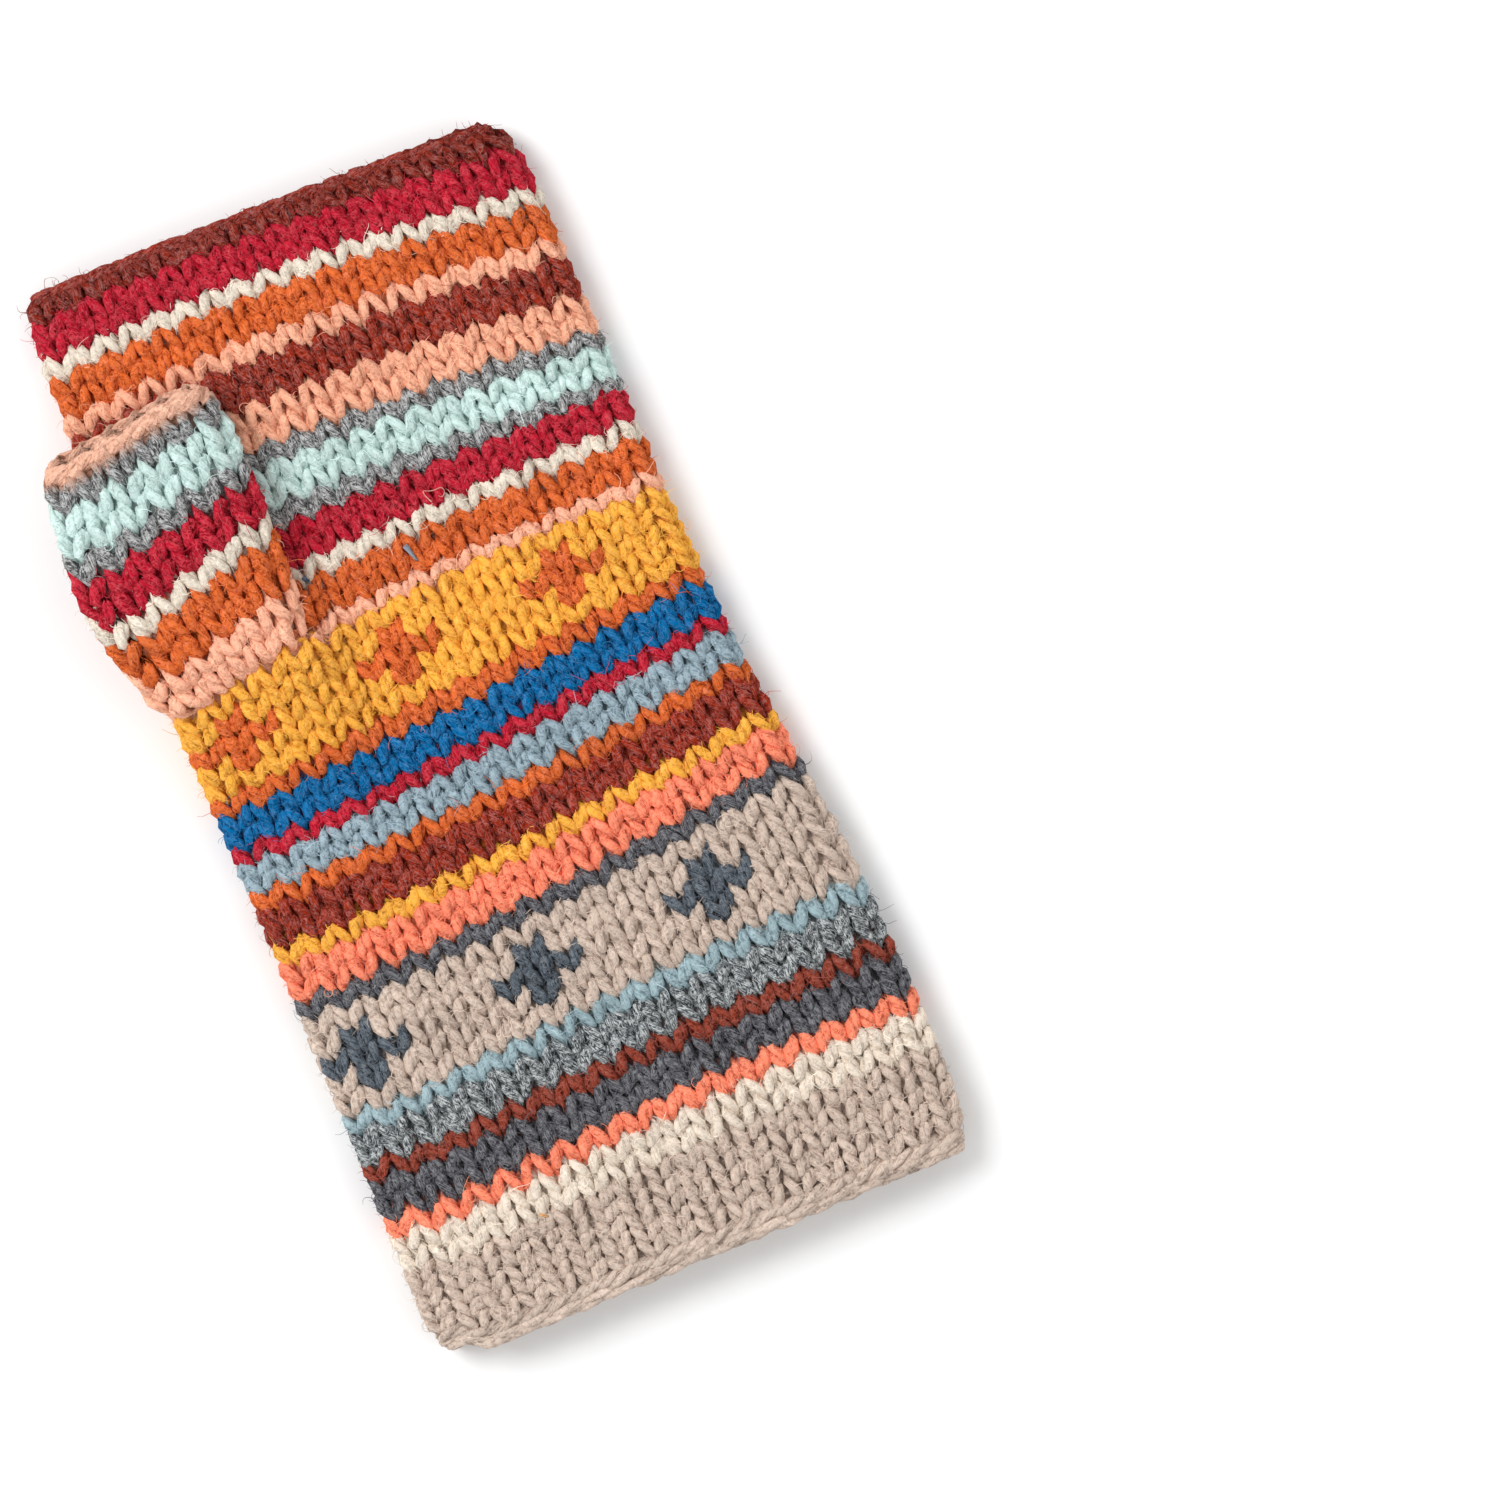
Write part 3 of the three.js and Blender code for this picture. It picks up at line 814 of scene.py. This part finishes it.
def braid(
    cloth, point, row, direction, links, wool_name, rng, wide, tilt, thick,
    out=0.0, tip_ahead=True, lumps=1.0, reach=(-0.45, 1.15),
):
    """The chain along an open end: two legs for each link, a V that lies sideways along the edge."""
    colour = linear(WOOL[wool_name])
    s = np.linspace(0, 1, 10)
    tip = math.radians(tilt)
    for link in range(links):
        sway = rng.normal(0, 0.12 * lumps)
        for side in (-1, 1):
            q = (link + mix(*reach, s) + rng.normal(0, 0.04)) / links
            rows_here = np.full_like(q, row)
            here = point(q, rows_here, np.full_like(q, out))
            outward = facing(point, q, rows_here, 0 * q)
            ahead = np.zeros_like(outward)
            ahead[:, 1] = direction
            face = unit(outward * math.cos(tip) + ahead * math.sin(tip))
            across = unit(ahead * math.cos(tip) - outward * math.sin(tip))
            to_tip = s if tip_ahead else 1 - s
            spread = side * wide * mix(0.5, 0.1, smooth(to_tip * 1.1)) + sway
            hump = np.sin(math.pi * np.clip(s * 0.92 + 0.04, 0, 1))
            lift = mix(0.0, -0.75 + 1.3 * hump, lumps) + rng.normal(0, 0.06)
            centre = here + across * spread[:, None] + face * lift[:, None]
            plump = 0.62 + 0.38 * np.sin(math.pi * s) ** 0.8
            radius = thick * mix(1, plump, lumps) * (1 + rng.normal(0, 0.05))
            tint = np.repeat(colour[None] * (1 + rng.normal(0, 0.06)), len(s), 0)
            grey = np.full(len(s), HEATHER.get(wool_name, PLAIN))
            cloth.tube(centre, face, radius, tint, grey, False, flat=0.92, start=rng.uniform(0, 50))


def rim(cloth, point, row, wool_name, stitches):
    """A round core that the chain is worked over."""
    q = np.arange(stitches * 4) / (stitches * 4)
    rows_here = np.full_like(q, row)
    here = point(q, rows_here, 0 * q)
    outward = facing(point, q, rows_here, 0 * q)
    # Painted shade: the core's wool is darkened to 0.8, as the shade under the chain.
    colour = np.repeat(linear(WOOL[wool_name])[None] * 0.8, len(q), 0)
    heather = np.full(len(q), HEATHER.get(wool_name, PLAIN))
    cloth.tube(here, outward, np.full(len(q), CORE), colour, heather, True)


finger_edge, wrist_edge, thumb_edge = Cloth(), Cloth(), Cloth()
rim(finger_edge, hand_point, -0.15, "rust", STITCHES)
braid(
    finger_edge, hand_point, -0.22, 1, STITCHES, "rust", rng,
    wide=1.5, tilt=26, thick=1.45, out=-0.6, lumps=0.25,
)
rim(wrist_edge, hand_point, ROWS + 0.55, "taupe", STITCHES)
braid(
    wrist_edge, hand_point, ROWS + 0.66, -1, STITCHES, "taupe", rng,
    wide=3.8, tilt=15, thick=1.6, tip_ahead=False, reach=(-0.7, 1.4),
)
rim(thumb_edge, thumb_point, -0.1, "blush", THUMB_STITCHES)
braid(
    thumb_edge, thumb_point, -0.12, 1, THUMB_STITCHES, "blush", rng,
    wide=2.2, tilt=35, thick=1.7, lumps=0.5,
)

knitted = [
    cloth.build(f"hand_knit_{part}", wool, "striped_wool", ("hand_tube",) if part == "finger" else ())
    for part, cloth in zip(PARTS, hand_cloths)
]
knitted.append(thumb_cloth.build("thumb_knit", wool, "striped_wool", ("thumb_tube",)))
shade_lining.build("hand_knit_shade_ground", wool, "striped_wool")
thumb_shade_lining.build("thumb_knit_shade_ground", wool, "striped_wool")
finger_edge.build("finger_bind_off", wool, "rust_wool", ("finger_edge",))
wrist_edge.build("wrist_cast_on", wool, "taupe_wool", ("wrist_edge",))
thumb_edge.build("thumb_bind_off", wool, "peach_wool", ("thumb_edge",))


def bits(cloth):
    """Lays the odd ends of yarn along their paths, with the corners rounded."""
    for bit in BITS:
        path = np.array(bit["path"], float)
        n = 5 * (len(path) - 1) + 1
        share = np.linspace(0, len(path) - 1, n)
        xy = np.stack([np.interp(share, range(len(path)), path[:, i]) for i in range(2)], -1)
        for _ in range(4):
            xy[1:-1] = (xy[:-2] + 2 * xy[1:-1] + xy[2:]) / 4
        centre = np.concatenate([xy, np.full((n, 1), bit["height"])], 1)
        up = np.tile((0.0, 0.0, 1.0), (n, 1))
        radius = bit["radius"] * np.linspace(1, 0.7, n)
        tint = np.tile(linear(bit["colour"]), (n, 1))
        cloth.tube(centre, up, radius, tint, np.full(n, 0.3), False)


oddments = Cloth()
bits(oddments)
oddments.build("caught_fibres", wool, "striped_wool")


def fibres(name, sources, rng, count, steps, length, width, lift, pale):
    """Thin ribbons that stray over the wool, each in the colour of the yarn that it leaves, paled at
    random as a painted highlight.
    """
    cloth = Cloth()
    roots, normals, colours = [], [], []
    for piece in sources:
        mesh = piece.data
        n = len(mesh.vertices)
        co, no = np.empty(n * 3, np.float32), np.empty(n * 3, np.float32)
        tint = np.empty(n * 4, np.float32)
        mesh.vertices.foreach_get("co", co)
        mesh.vertex_normals.foreach_get("vector", no)
        mesh.color_attributes["wool"].data.foreach_get("color", tint)
        roots.append(co.reshape(-1, 3) / MM)
        normals.append(no.reshape(-1, 3))
        colours.append(tint.reshape(-1, 4)[:, :3])
    roots, normals, colours = (np.concatenate(x).astype(float) for x in (roots, normals, colours))
    chance = np.where(normals[:, 2] > 0.5, 1.0, np.where(normals[:, 2] > -0.3, 0.0, 0.25))
    beside = np.abs(roots[:, :2] - (PATCH["x"], PATCH["y"])).max(1) < PATCH["side"] / 2 + 1
    chance[beside & (roots[:, 2] < FOLD)] = 0
    pick = rng.choice(len(roots), count, p=chance / chance.sum())
    p, normal, colour = roots[pick], unit(normals[pick]), colours[pick]
    heading = unit(np.cross(normal, rng.normal(0, 1, (count, 3))))
    bend = rng.normal(0, 0.8, (count, 1))
    step = rng.uniform(*length, (count, 1)) / steps
    path = [p]
    rise = rng.uniform(0.2, 1.0, (count, 1)) * lift
    for k in range(steps):
        bend = bend + rng.normal(0, 0.5, (count, 1))
        sideways = np.cross(normal, heading)
        heading = unit(heading + sideways * bend * 0.5)
        climb = rise * math.cos((k + 0.5) / steps * math.pi)
        path.append(path[-1] + step * (heading + normal * climb))
    path = np.stack(path, 1)
    path[..., 2] = np.maximum(path[..., 2], 0.05)
    ahead = unit(np.gradient(path, axis=1))
    side = unit(np.cross(ahead, normal[:, None])) * (width / 2)
    taper = np.linspace(1.0, 0.45, steps + 1)[None, :, None]
    left, right = path - side * taper, path + side * taper
    grid = np.stack([left, right], 2).reshape(-1, 3)
    n = steps + 1
    base = (np.arange(count) * n * 2)[:, None] + np.arange(steps)[None] * 2
    faces = np.stack([base, base + 1, base + 3, base + 2], -1).reshape(-1, 4)
    # Painted highlight: each fibre's wool colour is scaled at random from 0.8 to 1.5 and paled by pale,
    # partly random tone and mostly the light that loose fibres catch.
    shade = colour * rng.uniform(0.8, 1.5, (count, 1))
    shade = np.clip(shade + pale * rng.uniform(0, 1, (count, 1)), 0, 1)
    cloth.points.append(grid)
    cloth.faces.append(faces)
    cloth.uvs.append(np.zeros((len(faces), 4, 2)))
    cloth.colours.append(np.repeat(shade, n * 2, 0))
    cloth.heather.append(np.zeros(len(grid)))
    cloth.build(name, hair, "striped_wool")


fibres("long_fibres", knitted, rng, **LONG_FIBRES)
fibres("short_fibres", knitted, rng, **SHORT_FIBRES)
fibres("short_fibres_2", knitted, rng, **SHORT_FIBRES)


def rounded_square(u, v, half, corner):
    """Moves a square grid's outline, u and v from -1 to 1, onto one with rounded corners."""
    x, y = u * half, v * half
    inner = half - corner
    over_x, over_y = np.maximum(np.abs(x) - inner, 0), np.maximum(np.abs(y) - inner, 0)
    reach = np.hypot(over_x, over_y)
    longest = np.maximum(over_x, over_y)
    pull = np.where(reach > 1e-9, longest / np.maximum(reach, 1e-9), 1)
    x = np.sign(x) * (np.minimum(np.abs(x), inner) + over_x * pull)
    y = np.sign(y) * (np.minimum(np.abs(y), inner) + over_y * pull)
    return x, y


def leather_material():
    """Brown leather with a fine grain, darker where its rim and its seam are rubbed."""
    shader = Shader("brown_leather")
    place = shader.node("ShaderNodeTexCoord").out("Object")
    pebbles = {"Vector": place, "Scale": 1700.0}
    grain = shader.node("ShaderNodeTexVoronoi", pebbles, feature="SMOOTH_F1").out("Distance")
    mottled = shader.noise(place, 160.0, 5.0)
    rubbed = shader.node("ShaderNodeAttribute", attribute_name="worn").out("Fac")
    tone = shader.ramp(mottled, 0.3, 0.7)
    base = shader.mixed(tone, (0.105, 0.024, 0.012, 1), (0.15, 0.037, 0.019, 1))
    base = shader.mixed(rubbed * 0.6, base, (0.055, 0.014, 0.008, 1))
    relief = {"Strength": 0.35, "Distance": 0.0002, "Height": grain + mottled * 0.6}
    bump = shader.node("ShaderNodeBump", relief).out("Normal")
    shader.put(shader.surface.inputs["Base Color"], base)
    shader.put(shader.surface.inputs["Normal"], bump)
    shader.shine(0.6, 0.25)
    return shader.material


def leather_patch():
    """The square of leather on the underside near the wrist, with a rounded rim and a pressed seam."""
    half = PATCH["side"] / 2
    rim_steps = np.linspace(0, 0.24, 13)[:-1]
    shares = np.concatenate([rim_steps - 1, np.linspace(-0.76, 0.76, 25), 1 - rim_steps[::-1]])
    u, v = np.meshgrid(shares, shares)
    x, y = rounded_square(u, v, half, LEATHER["corner"])
    inward = half - np.maximum(np.abs(u), np.abs(v)) * half
    edge = np.clip(1 - inward / LEATHER["rim"], 0, 1)
    seam = np.exp(-(((inward - LEATHER["seam"]) / 0.45) ** 2))
    z = LEATHER["face"] + LEATHER["rim"] * (1 - np.sqrt(1 - edge**2)) + LEATHER["groove"] * seam
    n = len(shares)
    around = [(0, i) for i in range(n)] + [(j, n - 1) for j in range(1, n)]
    around += [(n - 1, i) for i in range(n - 2, -1, -1)] + [(j, 0) for j in range(n - 2, 0, -1)]
    points = np.stack([x, y, z], -1).reshape(-1, 3)
    ring = [j * n + i for j, i in around]
    top = points[ring].copy()
    top[:, 2] = PATCH["thickness"]
    cells = [(j, i) for j in range(n - 1) for i in range(n - 1)]
    faces = [(j * n + i, (j + 1) * n + i, (j + 1) * n + i + 1, j * n + i + 1) for j, i in cells]
    count = len(points)
    loop = len(ring)
    faces += [(ring[k], ring[(k + 1) % loop], count + (k + 1) % loop, count + k) for k in range(loop)]
    faces.append(tuple(count + k for k in range(loop)))
    points = np.concatenate([points, top]) + (PATCH["x"], PATCH["y"], 0)
    mesh = bpy.data.meshes.new("leather_patch")
    mesh.from_pydata((points * MM).tolist(), [], faces)
    mesh.polygons.foreach_set("use_smooth", [True] * (len(faces) - 1) + [False])
    rubbing = np.clip(1.2 - inward / LEATHER["worn"], 0, 1) + 0.6 * seam
    worn = np.concatenate([rubbing.ravel(), np.ones(loop)])
    mesh.attributes.new("worn", "FLOAT", "POINT").data.foreach_set("value", worn.astype(np.float32))
    mesh.update()
    patch = bpy.data.objects.new("leather_patch_skin", mesh)
    bpy.context.collection.objects.link(patch)
    patch.data.materials.append(leather_material())
    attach(patch, "root")
    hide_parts("leather_patch")


leather_patch()


def patch_seam(cloth, rng):
    """Short stitches of dark thread in a line round the patch."""
    inset = PATCH["side"] / 2 - LEATHER["seam"]
    pitch = 2 * inset / LEATHER["holes"]
    s = np.linspace(-1, 1, 7)
    for turn in range(4):
        for k in range(LEATHER["holes"]):
            along_side = -inset + (k + 0.5) * pitch + s * THREAD["length"] / 2
            x = along_side + rng.normal(0, 0.04)
            y = np.full_like(s, -inset) + rng.normal(0, 0.05)
            z = 0.08 + THREAD["radius"] + 0.28 * np.abs(s) ** 3
            angle = turn * math.pi / 2
            centre = np.stack(
                [
                    PATCH["x"] + x * math.cos(angle) - y * math.sin(angle),
                    PATCH["y"] + x * math.sin(angle) + y * math.cos(angle),
                    z,
                ],
                -1,
            )
            down = np.tile((0.0, 0.0, -1.0), (len(s), 1))
            radius = THREAD["radius"] * (0.75 + 0.25 * (1 - s**2))
            tint = np.tile(linear(THREAD["colour"]), (len(s), 1))
            start = rng.uniform(0, 50)
            cloth.tube(centre, down, radius, tint, np.zeros(len(s)), False, start=start, lift=False)


thread = Cloth()
patch_seam(thread, rng)
thread.build("patch_thread", hair, "brown_leather")


def plane(name, size, material):
    """The level surface that the warmer lies on."""
    bpy.ops.mesh.primitive_plane_add(size=size)
    floor = bpy.context.object
    floor.name = name
    floor.data.materials.append(material)


paper = Shader("pale_floor")
paper.surface.inputs["Base Color"].default_value = (0.9, 0.9, 0.9, 1)
paper.shine(0.9, 0.1)
plane("floor", size=4.0, material=paper.material)

scene = bpy.context.scene
world = bpy.data.worlds.new("studio")
world.use_nodes = True
world.node_tree.nodes["Background"].inputs["Color"].default_value = (1, 1, 1, 1)
world.node_tree.nodes["Background"].inputs["Strength"].default_value = 0.7
scene.world = world
scene.view_settings.view_transform = "Standard"


def area_light(name, place, size, power):
    """A square light that shines on the middle of the warmer."""
    light = bpy.data.lights.new(name, "AREA")
    light.size, light.energy = size, power
    lamp = bpy.data.objects.new(name, light)
    bpy.context.collection.objects.link(lamp)
    lamp.location = place
    direction = -np.array(place, float)
    lamp.rotation_euler = (
        math.atan2(math.hypot(direction[0], direction[1]), -direction[2]),
        0,
        math.atan2(direction[0], -direction[1]) + math.pi,
    )


area_light("key", place=(-0.9, 0.9, 1.5), size=1.0, power=27)
area_light("fill", place=(1.2, -0.6, 1.6), size=1.2, power=6)

view = bpy.data.cameras.new("photo")
view.sensor_width = FILM
view.lens = FILM * DISTANCE / FRAME_WIDTH
camera = bpy.data.objects.new("photo", view)
bpy.context.collection.objects.link(camera)
camera.location = (*FRAME_CENTRE, DISTANCE + HAND_HEIGHT * MM)
camera.rotation_euler = (0, 0, math.radians(ROLL))
view.clip_end = 20
scene.camera = camera
